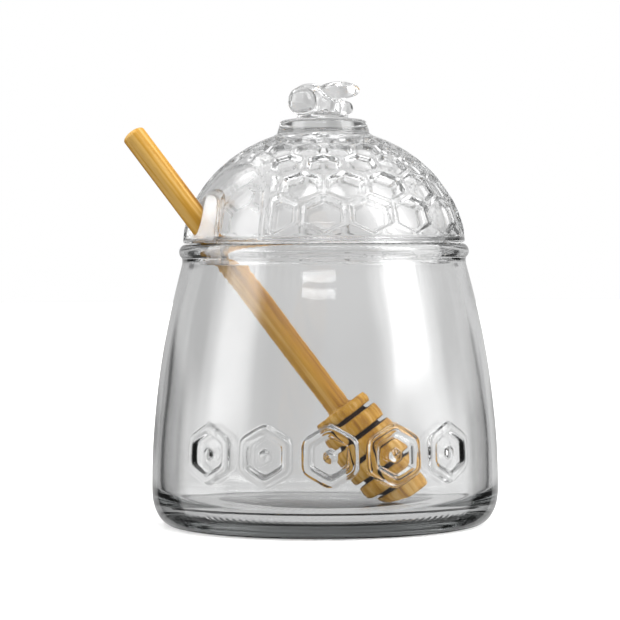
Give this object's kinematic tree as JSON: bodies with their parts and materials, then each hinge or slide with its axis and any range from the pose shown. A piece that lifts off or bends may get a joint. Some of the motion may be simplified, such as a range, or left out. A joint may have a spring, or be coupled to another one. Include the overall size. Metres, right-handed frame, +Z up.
{
  "type": "honey jar with dipper",
  "caption": "Empty clear glass beehive-shaped jar with raised honeycomb cells, a domed honeycomb lid with a bee knob, and a turned wooden dipper leaning out through a notch in the lid",
  "frame": {"origin": "middle of the jar's flat underside, where it rests", "axes": "+Z up; -Y is the front, with the row of raised cells; +X is the right seen from the front"},
  "size_m": [0.127, 0.1205, 0.1515],
  "materials": {
    "jar_glass": "clear, thick-walled moulded soda glass, gloss",
    "lid_glass": "clear pressed soda glass, gloss, with flat-floored honeycomb cells",
    "dipper_wood": "bare turned hardwood, smooth sanded, with darkened grooves"
  },
  "bodies": {
    "root": {"jar": "jar_glass", "lid": "lid_glass", "dipper": "dipper_wood"}
  },
  "joints": []
}
